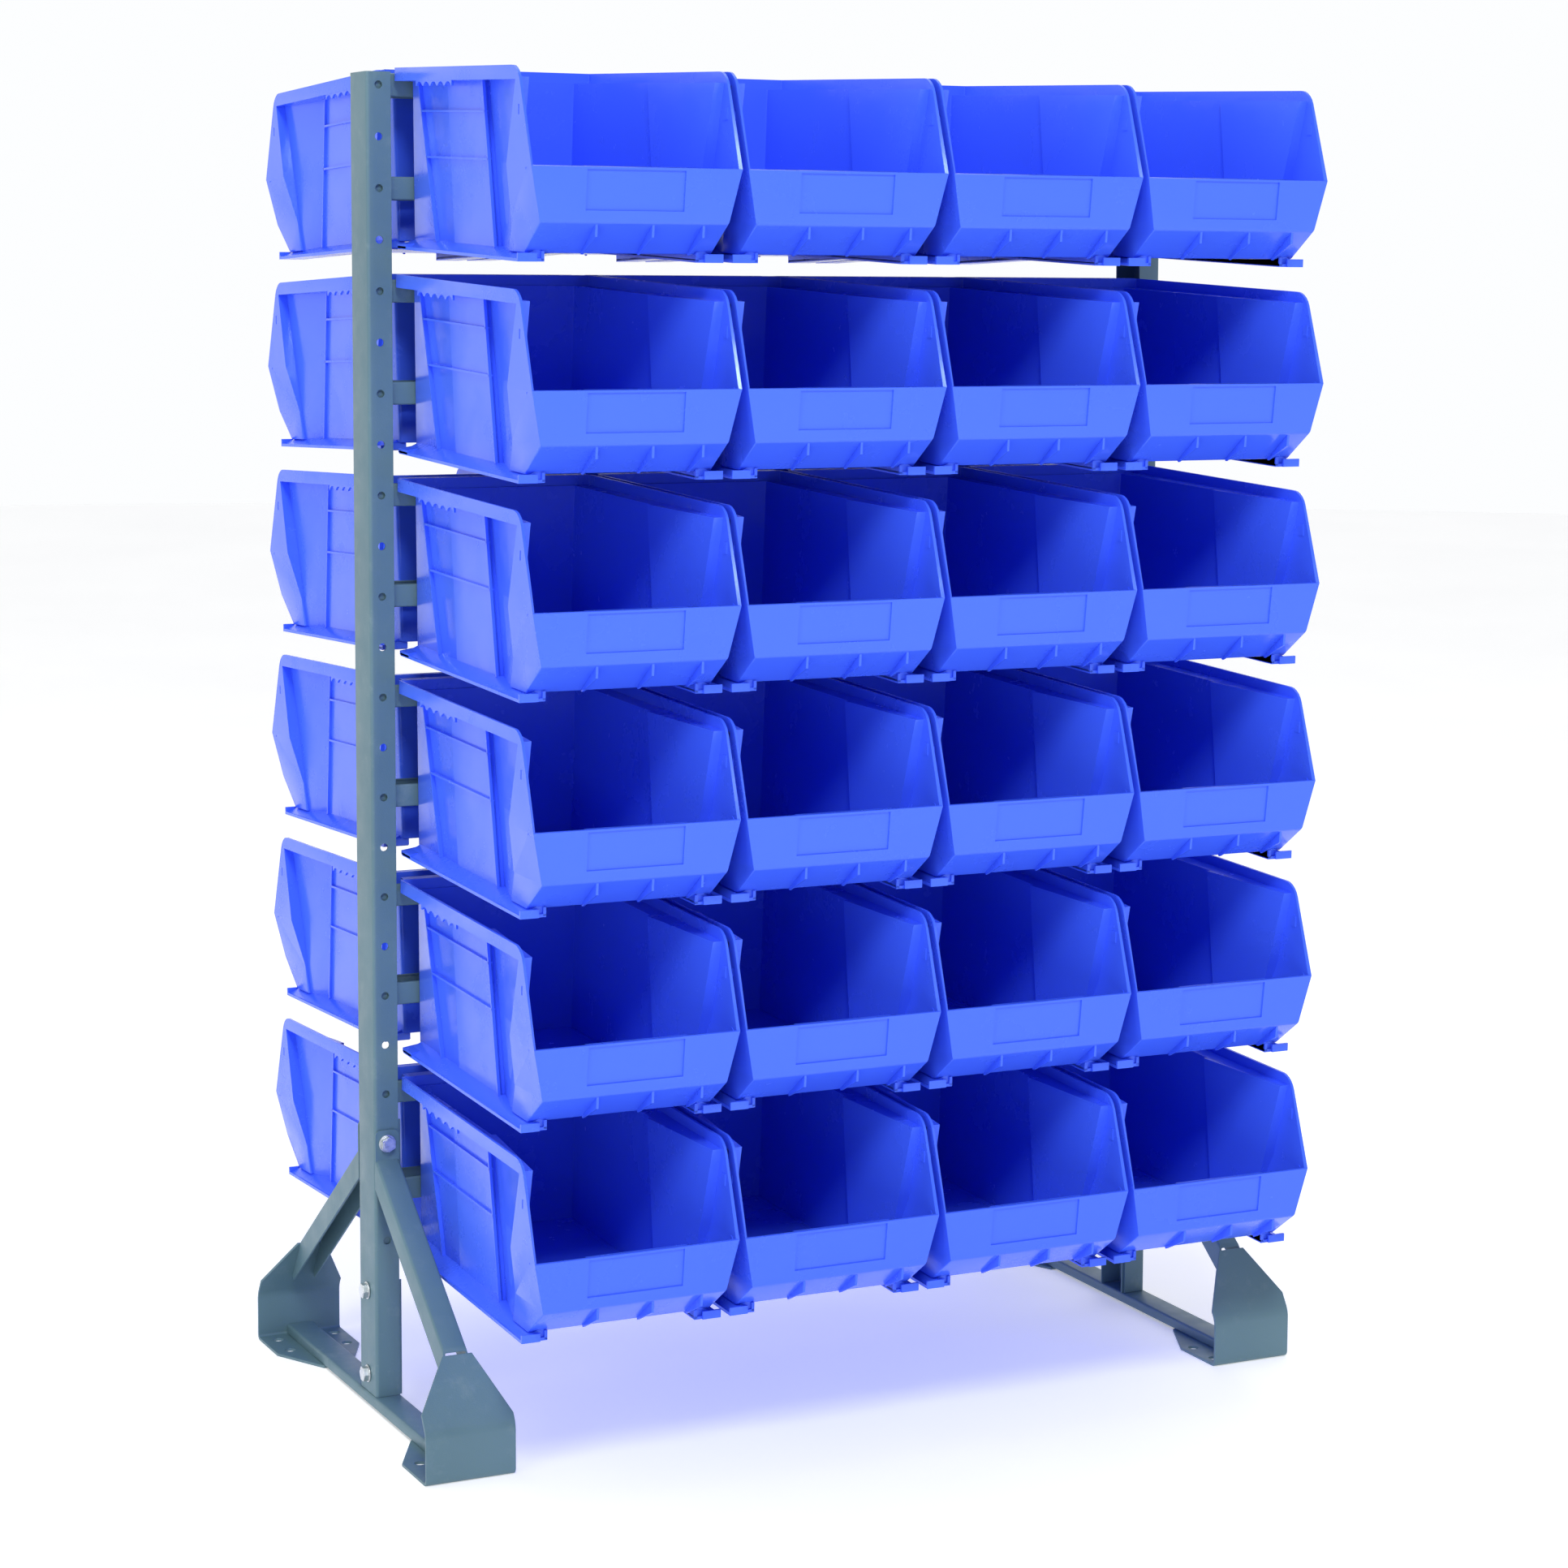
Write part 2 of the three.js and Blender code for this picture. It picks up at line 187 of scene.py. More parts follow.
def newFinish(name):
    # a material with its shader and the makers of the nodes that feed it
    look = bpy.data.materials.new(name)
    look.use_nodes = True
    nodes = look.node_tree.nodes
    links = look.node_tree.links
    where = nodes.new("ShaderNodeTexCoord")

    def noise(scale, detail, rough=0.5):
        made = nodes.new("ShaderNodeTexNoise")
        made.inputs["Scale"].default_value = scale
        made.inputs["Detail"].default_value = detail
        made.inputs["Roughness"].default_value = rough
        links.new(where.outputs["Object"], made.inputs["Vector"])
        return made.outputs["Fac"]

    def ramp(source, stops):
        made = nodes.new("ShaderNodeValToRGB")
        while len(made.color_ramp.elements) < len(stops):
            made.color_ramp.elements.new(0.5)
        for stop, (place, colour) in zip(made.color_ramp.elements, stops):
            stop.position = place
            stop.color = (*colour, 1) if len(colour) == 3 else (*colour * 3, 1)
        links.new(source, made.inputs["Fac"])
        return made.outputs["Color"]

    def mix(amount, first, second):
        made = nodes.new("ShaderNodeMix")
        made.data_type = "RGBA"
        for socket, value in ((made.inputs[0], amount), (made.inputs[6], first), (made.inputs[7], second)):
            if hasattr(value, "node"):
                links.new(value, socket)
            elif isinstance(value, tuple):
                socket.default_value = (*value, 1)
            else:
                socket.default_value = value
        return made.outputs[2]

    def bump(height, strength, distance, under=None):
        made = nodes.new("ShaderNodeBump")
        made.inputs["Strength"].default_value = strength
        made.inputs["Distance"].default_value = distance
        links.new(height, made.inputs["Height"])
        if under:
            links.new(under, made.inputs["Normal"])
        return made.outputs["Normal"]

    def edges(low, high):
        made = nodes.new("ShaderNodeNewGeometry")
        return ramp(made.outputs["Pointiness"], [(low, (0,)), (high, (1,))])

    return look, nodes["Principled BSDF"], links, noise, ramp, mix, bump, edges


plasticLook = {"deep": (0.022, 0.070, 0.86), "clear": (0.030, 0.092, 0.97), "scuff": (0.060, 0.15, 0.98),
               "sheen": (0.60, 0.78, 1.0, 1), "gloss": 0.13, "smear": 0.34, "ior": 1.49}


def makeBinPlastic():
    look, shader, links, noise, ramp, mix, bump, edges = newFinish("binPlastic")
    shade = ramp(noise(3.5, 3), [(0.3, plasticLook["deep"]), (0.7, plasticLook["clear"])])
    scuffs = ramp(noise(22, 6, 0.6), [(0.55, (0,)), (0.80, (0.30,))])
    worn = mix(scuffs, shade, plasticLook["scuff"])
    pale = mix(edges(0.52, 0.6), worn, plasticLook["scuff"])
    links.new(pale, shader.inputs["Base Color"])
    smears = ramp(noise(11, 6, 0.62), [(0.36, (plasticLook["gloss"],)), (0.68, (plasticLook["smear"],))])
    links.new(smears, shader.inputs["Roughness"])
    wave = bump(noise(14, 2), 0.10, 4 * mm)  # slow ripple of the moulding under a fine grain
    links.new(bump(noise(900, 2), 0.10, 0.4 * mm, wave), shader.inputs["Normal"])
    shader.inputs["IOR"].default_value = plasticLook["ior"]
    shader.inputs["Specular Tint"].default_value = plasticLook["sheen"]
    return look


paintLook = {"body": (0.088, 0.172, 0.215), "light": (0.114, 0.212, 0.255), "bare": (0.32, 0.40, 0.42),
             "smooth": 0.38, "rough": 0.52, "metallic": 0.1}


def makeFramePaint():
    look, shader, links, noise, ramp, mix, bump, edges = newFinish("framePaint")
    shade = ramp(noise(5, 4), [(0.3, paintLook["body"]), (0.7, paintLook["light"])])
    rubbed = ramp(noise(35, 8, 0.7), [(0.55, (0,)), (0.72, (0.6,))])
    chipped = mix(edges(0.53, 0.62), (0.0, 0.0, 0.0), rubbed)
    links.new(mix(chipped, shade, paintLook["bare"]), shader.inputs["Base Color"])
    fineGrain = ramp(noise(40, 4), [(0.3, (paintLook["smooth"],)), (0.7, (paintLook["rough"],))])
    links.new(fineGrain, shader.inputs["Roughness"])
    shader.inputs["Metallic"].default_value = paintLook["metallic"]
    links.new(bump(noise(650, 3), 0.22, 0.6 * mm), shader.inputs["Normal"])
    return look


zincLook = {"dull": (0.52, 0.55, 0.56), "bright": (0.74, 0.77, 0.78), "metallic": 0.95}


def makeZincPlate():
    look, shader, links, noise, ramp, mix, bump, edges = newFinish("zincPlate")
    shade = ramp(noise(180, 5, 0.6), [(0.35, zincLook["dull"]), (0.65, zincLook["bright"])])
    links.new(shade, shader.inputs["Base Color"])
    links.new(ramp(noise(260, 4), [(0.3, (0.24,)), (0.7, (0.42,))]), shader.inputs["Roughness"])
    shader.inputs["Metallic"].default_value = zincLook["metallic"]
    links.new(bump(noise(1400, 2), 0.2, 0.3 * mm), shader.inputs["Normal"])
    return look


floorLook = {"shade": (0.86, 0.86, 0.87), "clear": (0.9, 0.9, 0.905), "glow": 0.36, "radius": 14}


def makeFloorLook():
    look, shader, links, noise, ramp, mix, bump, edges = newFinish("paleFloor")
    shade = ramp(noise(1.2, 4), [(0.3, floorLook["shade"]), (0.7, floorLook["clear"])])
    links.new(shade, shader.inputs["Base Color"])
    links.new(ramp(noise(8, 4), [(0.3, (0.6,)), (0.7, (0.75,))]), shader.inputs["Roughness"])
    shader.inputs["Emission Color"].default_value = (1, 1, 1, 1)
    shader.inputs["Emission Strength"].default_value = floorLook["glow"]
    return look


binPlastic = makeBinPlastic()
framePaint = makeFramePaint()
zincPlate = makeZincPlate()
print("finishes made")


view = {"place": (-1.6401, -3.4983, 1.1748), "down": 6.2, "roll": -0.43, "turn": 26.98, "lens": 83.66,
        "sensor": 36, "shift": (-0.07, -0.08)}
eye = bpy.data.cameras.new("camera")
eye.lens = view["lens"]
eye.sensor_width = view["sensor"]
eye.shift_x, eye.shift_y = view["shift"]
camera = bpy.data.objects.new("camera", eye)
camera.location = view["place"]
camera.rotation_euler = [math.radians(turn) for turn in (90 - view["down"], view["roll"], -view["turn"])]
bpy.context.scene.collection.objects.link(camera)
bpy.context.scene.camera = camera

lamps = {
    "keyLight": {"place": (-1.5, -4.0, 4.2), "size": 1.2, "power": 150},
    "fillLight": {"place": (3.4, -3.0, 1.8), "size": 2.5, "power": 16},
    "leftLight": {"place": (-3.9, -2.1, 1.9), "size": 2.2, "power": 34},
    "topLight": {"place": (0.2, 0.6, 4.0), "size": 2.5, "power": 18},
}
lampTarget = Vector((0, 0, 0.7))
surround = {"room": 0.28, "backdrop": 1.0, "fade": 0.25, "tint": (0.98, 0.99, 1.0, 1)}


def softBox(name, place, size, power):
    lamp = bpy.data.lights.new(name, "AREA")
    lamp.size = size
    lamp.energy = power
    holder = bpy.data.objects.new(name, lamp)
    holder.location = place
    holder.rotation_euler = (lampTarget - Vector(place)).to_track_quat("-Z", "Y").to_euler()
    bpy.context.scene.collection.objects.link(holder)


def makeSky():
    # white backdrop behind the rack and a dimmer room in front of it
    sky = bpy.data.worlds.new("sky")
    sky.use_nodes = True
    nodes = sky.node_tree.nodes
    links = sky.node_tree.links
    where = nodes.new("ShaderNodeTexCoord")
    split = nodes.new("ShaderNodeSeparateXYZ")
    links.new(where.outputs["Generated"], split.inputs[0])
    fade = nodes.new("ShaderNodeMapRange")
    fade.inputs["From Min"].default_value = -surround["fade"]
    fade.inputs["From Max"].default_value = surround["fade"]
    fade.inputs["To Min"].default_value = surround["room"]
    fade.inputs["To Max"].default_value = surround["backdrop"]
    links.new(split.outputs["Y"], fade.inputs["Value"])
    seen = nodes.new("ShaderNodeLightPath")
    most = nodes.new("ShaderNodeMath")
    most.operation = "MAXIMUM"
    links.new(seen.outputs["Is Camera Ray"], most.inputs[0])
    links.new(fade.outputs["Result"], most.inputs[1])
    paint = nodes["Background"]
    paint.inputs["Color"].default_value = surround["tint"]
    links.new(most.outputs[0], paint.inputs["Strength"])
    bpy.context.scene.world = sky


for name, lamp in lamps.items():
    softBox(name, lamp["place"], lamp["size"], lamp["power"])
makeSky()
bpy.context.scene.view_settings.view_transform = "Standard"

floorMesh = bmesh.new()
bmesh.ops.create_circle(floorMesh, cap_ends=True, segments=64, radius=floorLook["radius"])
floor = addObject("floor", floorMesh)
floor.data.materials.append(makeFloorLook())
print("camera, light and floor set")


# One moulded bin. Local axes: x across, -y forward from the rear wall, z up from the rim.
# Drops are measured down from the rim, and Top and Foot are where a slanted line starts and ends.
binShape = {
    "half": 4.125 * inch, "depth": 14.75 * inch, "height": 7 * inch, "wall": 2.6 * mm,
    "pitch": 8.5 * inch,
    "rimBand": 13 * mm, "rimFront": 14.75 * inch - 36.5 * mm, "rimRound": 14 * mm,
    "lipDrop": 3.55 * inch, "faceDrop": 5.55 * inch, "faceSetBack": 5 * mm, "faceFoot": 94 * mm,
    "chinReach": 14.75 * inch - 44 * mm, "bodyDrop": 6.7 * inch, "footRound": 2.5 * mm,
    "panel": 87 * mm, "panelFoot": 84 * mm, "rearStep": 3.5 * mm, "rearRound": 8 * mm,
    "bandTop": 13.1 * inch, "bandFoot": 11.4 * inch,
    "dipTop": 8.2 * inch, "dipFoot": 9.4 * inch, "dip": 4 * mm, "dipFlare": (12 * mm, 7 * mm),
    "over": 5 * mm,  # how far a cutter runs past the plastic
    "droop": math.radians(2),
}
label = {"left": -50 * mm, "right": 48 * mm, "top": 2.2 * mm, "foot": 0.78, "depth": 1.7 * mm,
         "proud": 4 * mm}
marks = {"slot": (342 * mm, 40 * mm), "slotWidth": 2.2 * mm, "slotHeight": 9 * mm,
         "dimple": (361 * mm, 94 * mm), "dimpleRadius": 2.2 * mm, "depth": 0.9 * mm}


def slantAt(top, foot, drop):
    # how far forward a slanted line is, at a drop below the rim
    return top + (foot - top) * (drop / binShape["bodyDrop"])


def panelAt(z):
    down = (-z - binShape["rimBand"]) / (binShape["bodyDrop"] - binShape["rimBand"])
    return binShape["panel"] - (binShape["panel"] - binShape["panelFoot"]) * down


def binBlank():
    bm = bmesh.new()
    outline = [(0, 0), (-binShape["rimFront"], 0), (-binShape["depth"], -binShape["lipDrop"]),
               (-binShape["depth"] + binShape["faceSetBack"], -binShape["faceDrop"]),
               (-binShape["chinReach"], -binShape["bodyDrop"]), (0, -binShape["bodyDrop"])]
    corners = prism(bm, outline, -binShape["half"], binShape["half"])
    rimNose = [seam for seam in bm.edges if all(end in (corners[1], corners[7]) for end in seam.verts)]
    roundEdges(bm, rimNose, binShape["rimRound"], 5)
    cut(bm, (0, 0, -binShape["lipDrop"]), (0, 0, 1))
    cut(bm, (0, 0, -binShape["faceDrop"]), (0, 0, 1))
    for corner in bm.verts:
        if corner.co.z < -binShape["faceDrop"] + mm:
            corner.co.x = math.copysign(binShape["faceFoot"], corner.co.x)
    return bm


def pocketCutter(inner, flare, rearLine, frontLine):
    # the hollow beside the body, on both sides at once, between two slanted ends; flare widens it in front
    top = -binShape["rimBand"]
    drop = binShape["height"] + 2 * binShape["over"]
    rearFoot = slantAt(*rearLine, drop)
    frontFoot = slantAt(*frontLine, drop)
    outline = [(-rearLine[0], top), (-frontLine[0], top), (-frontFoot, -drop), (-rearFoot, -drop)]
    bm = bmesh.new()
    for side in (-1, 1):
        corners = prism(bm, outline, side * inner, side * (binShape["half"] + binShape["over"]))
        corners[1].co.x += side * flare[0]
        corners[2].co.x += side * flare[1]
    return bm


def labelCutter():
    bm = bmesh.new()
    lip = Vector((-binShape["depth"], -binShape["lipDrop"]))
    face = Vector((-binShape["depth"] + binShape["faceSetBack"], -binShape["faceDrop"])) - lip
    down = face.normalized()
    into = Vector((-down.y, down.x))
    start = lip + down * label["top"]
    end = lip + face * label["foot"]
    deep = into * label["depth"]
    proud = into * -label["proud"]
    prism(bm, [start + deep, start + proud, end + proud, end + deep], label["left"], label["right"])
    return bm


def markCutter():
    # a slot and a dimple pressed into the front of each side
    bm = bmesh.new()
    wide = marks["slotWidth"] / 2
    tall = marks["slotHeight"] / 2
    for side in (-1, 1):
        low, high = sorted((side * (binShape["half"] - marks["depth"]), side * (binShape["half"] + 3 * mm)))
        forward, drop = marks["slot"]
        block(bm, (low, -forward - wide, -drop - tall), (high, -forward + wide, -drop + tall))
        forward, drop = marks["dimple"]
        peg(bm, marks["dimpleRadius"], "x", ((low + high) / 2, -forward, -drop), high - low, 12)
    return bm


def rearCutter():
    # sets the rear wall back below the rim
    bm = bmesh.new()
    beyond = binShape["half"] + binShape["over"]
    block(bm, (-beyond, -binShape["rearStep"], -binShape["height"] - binShape["over"]),
          (beyond, binShape["over"], -binShape["rimBand"]))
    return bm


def binShell():
    dipLine = (binShape["dipTop"], binShape["dipFoot"])
    pocketEnd = (binShape["dipTop"] + mm, binShape["dipFoot"] + mm)
    behind = (-20 * mm, -20 * mm)
    pockets = pocketCutter(binShape["panel"], (0, 0), behind, pocketEnd)
    dips = pocketCutter(binShape["panel"] - binShape["dip"], binShape["dipFlare"], dipLine,
                        (binShape["bandTop"], binShape["bandFoot"]))
    bm = carve(binBlank(), pockets, dips, rearCutter(), labelCutter(), markCutter())
    mouth = [face for face in bm.faces if face.calc_center_median().z > -binShape["lipDrop"]
             and face.normal.z > 0.3 and face.normal.y < 0.1 and abs(face.normal.x) < 0.3]
    bmesh.ops.delete(bm, geom=mouth, context="FACES")
    insideBody = binShape["panel"] - 17 * mm
    for corner in bm.verts:
        if corner.co.y < -binShape["depth"] + 8 * mm and corner.co.z > -binShape["lipDrop"]:
            corner.co.z = -binShape["lipDrop"]  # keeps the lip level
    for corner in bm.verts:
        side = abs(corner.co.x)
        if insideBody < side < binShape["panel"] + mm and corner.co.z < -binShape["rimBand"] - mm:
            taper = binShape["panel"] - panelAt(corner.co.z)
            corner.co.x = math.copysign(side - taper, corner.co.x)
    bmesh.ops.recalc_face_normals(bm, faces=bm.faces[:])
    rearCorners = [seam for seam in bm.edges
                   if all(end.co.y > -binShape["rearStep"] - mm and abs(end.co.x) > insideBody
                          for end in seam.verts)
                   and abs(seam.verts[0].co.z - seam.verts[1].co.z) > 5 * mm]
    roundEdges(bm, rearCorners, binShape["rearRound"], 4)
    under = [seam for seam in bm.edges if seam.calc_face_angle(0) > math.radians(25)
             and all(end.co.z < -binShape["faceDrop"] + mm for end in seam.verts)]
    roundEdges(bm, under, binShape["footRound"], 2)
    bmesh.ops.recalc_face_normals(bm, faces=bm.faces[:])
    giveGauge(bm, (0, -binShape["depth"] / 2, -binShape["lipDrop"]), binShape["wall"])
    return bm


ribs = {"width": 2.2 * mm, "sunk": 0.6 * mm, "proud": 3.8 * mm,
        "rearTop": 1.1 * inch, "rearFoot": 3.1 * inch, "levels": (1.65 * inch, 3.4 * inch)}
panelStep = {"rearTop": 107 * mm, "rearFoot": 124 * mm, "proud": 1.1 * mm}
pins = {"drops": (1.65 * inch, 5.1 * inch), "radius": 3.4 * mm, "proud": 1.2 * mm, "behind": 4 * mm}


def lean(made, rearTop, rearFoot, side):
    # shears a rib's block along its slanted line and in with the tapering panel
    for corner in made:
        corner.co.y -= slantAt(rearTop, rearFoot, -corner.co.z)
        corner.co.x -= side * (binShape["panel"] - panelAt(corner.co.z))


def addSideRibs(bm, side):
    inner = binShape["panel"] - ribs["sunk"]
    outer = binShape["panel"] + ribs["proud"]
    low, high = sorted((side * inner, side * outer))
    half = ribs["width"] / 2
    top = -binShape["rimBand"] + mm
    foot = -binShape["bodyDrop"] + 2 * mm
    rear = block(bm, (low, -half, foot), (high, half, top))
    lean(rear, ribs["rearTop"], ribs["rearFoot"], side)
    front = block(bm, (low, -half, foot), (high, half, top))
    lean(front, binShape["dipTop"] - half, binShape["dipFoot"] - half, side)
    addPanelStep(bm, side, foot, top)
    for level in ribs["levels"]:
        start = slantAt(ribs["rearTop"], ribs["rearFoot"], level)
        end = slantAt(binShape["dipTop"], binShape["dipFoot"], level)
        bar = block(bm, (low, -end, -level - half), (high, -start, -level + half))
        lean(bar, 0, 0, side)
    for drop in pins["drops"]:
        forward = slantAt(ribs["rearTop"], ribs["rearFoot"], drop) - pins["behind"]
        middle = panelAt(-drop) + pins["proud"] - mm
        peg(bm, pins["radius"], "x", (side * middle, -forward, -drop), 2 * mm, 14)


def addPanelStep(bm, side, foot, top):
    # the raised part of the side, from a slanted line to the front hollow
    inner = binShape["panel"] - ribs["sunk"]
    outer = binShape["panel"] + panelStep["proud"]
    low, high = sorted((side * inner, side * outer))
    step = block(bm, (low, -1, foot), (high, 0, top))
    for corner in step:
        if corner.co.y > -0.5:
            corner.co.y = -slantAt(panelStep["rearTop"], panelStep["rearFoot"], -corner.co.z)
        else:
            corner.co.y = -slantAt(binShape["dipTop"], binShape["dipFoot"], -corner.co.z)
    lean(step, 0, 0, side)


scallops = {"start": 64 * mm, "count": 5, "pitch": 20 * mm, "radius": 11 * mm, "crest": 14 * mm,
            "drop": 18 * mm, "inset": 0.3 * mm}


def addScallops(bm):
    # the toothed edge that hangs from the rim band along its rear half
    strip = bmesh.new()
    rounds = bmesh.new()
    end = scallops["start"] + scallops["count"] * scallops["pitch"]
    centre = -scallops["crest"] - scallops["radius"]
    for side in (-1, 1):
        low, high = sorted((side * (binShape["half"] - binShape["wall"]),
                            side * (binShape["half"] - scallops["inset"])))
        block(strip, (low, -end, -scallops["drop"]), (high, -scallops["start"], -binShape["rimBand"] + mm))
        for count in range(scallops["count"]):
            place = -scallops["start"] - (count + 0.5) * scallops["pitch"]
            peg(rounds, scallops["radius"], "x", ((low + high) / 2, place, centre), 10 * mm, 20)
    addMesh(bm, carve(strip, rounds))


runner = {"inner": 76 * mm, "outer": 103 * mm, "start": 9 * mm, "end": 336 * mm, "gauge": 3 * mm,
          "tab": 8 * mm, "tabGauge": 2.5 * mm, "tabInset": 8 * mm, "heel": 24 * mm, "heelHeight": 9 * mm}


def addRunner(bm, side):
    # web and flange under the body, a skirt that slopes out to the flange, a tab in front and a heel behind
    bottom = -binShape["height"]
    low, high = sorted((side * runner["inner"], side * runner["outer"]))
    webLow, webHigh = sorted((side * runner["inner"], side * (runner["inner"] + runner["gauge"])))
    block(bm, (low, -runner["end"], bottom), (high, -runner["start"], bottom + runner["gauge"]))
    block(bm, (webLow, -runner["end"], bottom + mm),
          (webHigh, -runner["start"], -binShape["bodyDrop"] + 2 * mm))
    tabLow, tabHigh = sorted((side * (runner["inner"] + runner["tabInset"]), side * runner["outer"]))
    block(bm, (tabLow, -runner["end"] - runner["tabGauge"], bottom),
          (tabHigh, -runner["end"], bottom + runner["tab"]))
    skirt = block(bm, (low, -runner["end"] + 2 * mm, bottom + 2 * mm),
                  (high, -runner["start"] - 3 * mm, -binShape["bodyDrop"] + 3 * mm))
    for corner in skirt:
        if corner.co.z > bottom + 4 * mm and abs(corner.co.x) > binShape["panelFoot"]:
            corner.co.x = side * (binShape["panelFoot"] + 0.4 * mm)
    heel = block(bm, (low, -runner["start"] - runner["heel"], bottom + mm),
                 (high, -runner["start"] + 2 * mm, bottom + runner["heelHeight"]))
    for corner in heel:
        if corner.co.z > bottom + 5 * mm and abs(corner.co.x) > binShape["panel"]:
            corner.co.z -= 4 * mm


hook = {"half": 100 * mm, "throat": 7.6 * mm, "reach": 10.1 * mm, "gauge": 4.5 * mm, "drop": 13 * mm}


def addHook(bm):
    gauge = hook["gauge"]
    outline = [(-mm, 0), (hook["reach"], 0), (hook["reach"], -hook["drop"]),
               (hook["throat"], -hook["drop"]), (hook["throat"], -gauge), (-mm, -gauge)]
    prism(bm, outline, -hook["half"], hook["half"])


gussets = {"places": (-0.4, 0.2, 0.74), "gauge": 2.4 * mm, "drop": 13 * mm}


def addGussets(bm):
    # thin webs between the front face and the sloping underside
    front = -binShape["depth"] + binShape["faceSetBack"]
    top = -binShape["faceDrop"]
    rear = -binShape["chinReach"]
    foot = -binShape["bodyDrop"]
    outline = [(front + 2 * mm, top - mm), (front + 3 * mm, top - gussets["drop"]),
               (rear - 2 * mm, foot - mm), (rear, foot + mm)]
    for place in gussets["places"]:
        middle = place * binShape["faceFoot"]
        prism(bm, outline, middle - gussets["gauge"] / 2, middle + gussets["gauge"] / 2)


def makeBin():
    bm = binShell()
    extras = bmesh.new()
    for side in (-1, 1):
        addSideRibs(extras, side)
    for side in (-1, 1):
        addRunner(extras, side)
    addHook(extras)
    addGussets(extras)
    addScallops(extras)
    bmesh.ops.recalc_face_normals(extras, faces=extras.faces[:])
    addMesh(bm, extras)
    return bm


oneBin = makeBin()
print("one bin:", len(oneBin.faces), "faces")


def hangBin(name, column, node, side, body):
    # puts a copy where the CAD bin hangs, from its box: side is -1 in front and 1 behind
    low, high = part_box(node)
    rear = high.y if side < 0 else -low.y
    turn = binShape["droop"]
    across = (column - 1.5) * binShape["pitch"] * -side
    place = Matrix.Translation((across, rear - hook["reach"] * math.cos(turn),
                                high.z - hook["reach"] * math.sin(turn)))
    stand = place @ Matrix.Rotation(turn, 4, "X")
    if side > 0:
        stand = Matrix.Rotation(math.pi, 4, "Z") @ stand
    copy = oneBin.copy()
    bmesh.ops.transform(copy, matrix=stand, verts=copy.verts[:])
    return finish(name, copy, binPlastic, body, edge=0.7 * mm)


for row in range(1, 7):
    for column in range(4):
        node = f"bin_row{row}_col{column + 1}"
        piece = hangBin(f"frontBin{row}{column + 1}", column, node, -1, node)
        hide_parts(node)
        backNode = f"bins_back_row{row}"
        piece = hangBin(f"backBin{row}{column + 1}", column, backNode, 1, backNode)
        if column == 0:
            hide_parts(backNode)
print("bins hung")


railShape = {"gauge": 1.8 * mm, "return": 8 * mm, "lip": 2.667 * mm, "round": 1.875 * mm, "endGauge": 2 * mm}


def makeRails(level):
    # a front and a back rail, each closed at both ends by a plate
    node = f"rail_pair_{level:02d}"
    low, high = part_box(node)
    for where in ("front", "back"):
        path = [(low.x, low.y + railShape["return"], low.z), (low.x, low.y, low.z), (low.x, low.y, high.z),
                (low.x, low.y + railShape["lip"], high.z)]
        bm = drawnSheet(path, (high.x - low.x, 0, 0))
        roundFolds(bm, railShape["round"], 3)
        giveGauge(bm, (0, low.y + 6 * mm, (low.z + high.z) / 2), railShape["gauge"])
        half = railShape["endGauge"] / 2
        for end in (low.x + 1.5 * mm, high.x - 1.5 * mm):
            block(bm, (end - half, low.y + mm, low.z + mm), (end + half, -mm, high.z - 2 * mm))
        if where == "back":
            bm = mirrored(bm, False, True)
        piece = finish(f"{where}Rail{level:02d}", bm, framePaint, "rack_frame",
                       edge=0.35 * mm)
        if where == "front":
            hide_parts(node)


for level in range(1, 13):
    makeRails(level)
print("rails made")


uprightShape = {"gauge": 2 * mm, "bend": 3.5 * mm, "holes": 24, "pitch": 2 * inch,
                "topDrop": 0.5 * inch + 0.2 * mm, "holeRadius": 4 * mm}
drillLength = 80 * mm  # longer than any section is deep
postShape = {"gauge": 1.5 * mm, "bend": 2.5 * mm, "notch": (5.3 * inch, 6.7 * inch), "beyond": 3 * mm,
             "boltHeight": 11 * inch}


def channelSheet(low, high, gauge, bend):
    # C section standing up, web towards -x
    path = [(high.x, low.y, low.z), (low.x, low.y, low.z), (low.x, high.y, low.z), (high.x, high.y, low.z)]
    bm = drawnSheet(path, (0, 0, high.z - low.z))
    roundFolds(bm, bend, 4)
    giveGauge(bm, ((low.x + high.x) / 2, 0, (low.z + high.z) / 2), gauge)
    return bm


def makeUpright():
    low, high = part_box("upright_left")
    bm = channelSheet(low, high, uprightShape["gauge"], uprightShape["bend"])
    drills = bmesh.new()
    middle = (low.x + high.x) / 2
    top = high.z - uprightShape["topDrop"]
    for count in range(uprightShape["holes"]):
        place = (middle, 0, top - count * uprightShape["pitch"])
        peg(drills, uprightShape["holeRadius"], "y", place, drillLength, 20)
    return carve(bm, drills)


def makePost():
    low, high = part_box("inner_post_left")
    bm = channelSheet(low, high, postShape["gauge"], postShape["bend"])
    drills = bmesh.new()
    edge = high.x - postShape["beyond"]
    foot, top = postShape["notch"]
    block(drills, (edge, -drillLength / 2, foot), (high.x + 10 * mm, drillLength / 2, top))
    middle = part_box("upright_left")[0].x + 0.5 * inch
    peg(drills, uprightShape["holeRadius"], "y", (middle, 0, postShape["boltHeight"]), drillLength, 20)
    return carve(bm, drills)


def makeBaseChannel():
    low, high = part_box("base_channel_left")
    path = [(low.x, low.y, low.z), (low.x, low.y, high.z), (high.x, low.y, high.z), (high.x, low.y, low.z)]
    bm = drawnSheet(path, (0, high.y - low.y, 0))
    roundFolds(bm, 3 * mm, 3)
    giveGauge(bm, ((low.x + high.x) / 2, 0, low.z), uprightShape["gauge"])
    return bm


